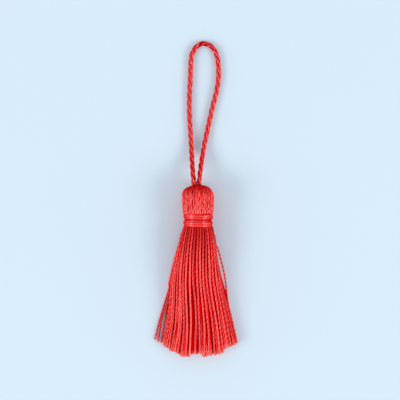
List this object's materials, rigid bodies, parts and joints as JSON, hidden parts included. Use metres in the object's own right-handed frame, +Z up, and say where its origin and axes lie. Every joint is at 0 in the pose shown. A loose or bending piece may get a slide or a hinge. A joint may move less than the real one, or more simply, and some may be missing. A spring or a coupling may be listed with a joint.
{
  "type": "thread tassel with a twisted hanging loop",
  "caption": "Small silky thread tassel lying on its side, with a folded-thread head, a wound neck binding and a twisted cord loop to hang or tie it by.",
  "frame": {"origin": "on the surface that the tassel lies on, under the middle of the outline of head, binding and skirt; the loop is left out of that outline", "axes": "+Y along the tassel from the cut ends towards the hanging loop, +Z up from the surface, +X to the right when seen from above with the loop away from the viewer"},
  "size_m": [0.0244, 0.0915, 0.0092],
  "materials": {
    "silky_thread": "silky two-ply thread, bright sheen across each thread",
    "binding_thread": "silky thread, wound in close turns",
    "twisted_cord": "silky cord of three plies, twisted"
  },
  "bodies": {
    "root": {"head_and_skirt": "silky_thread", "neck_binding": "binding_thread", "hanging_loop": "twisted_cord"}
  },
  "joints": []
}
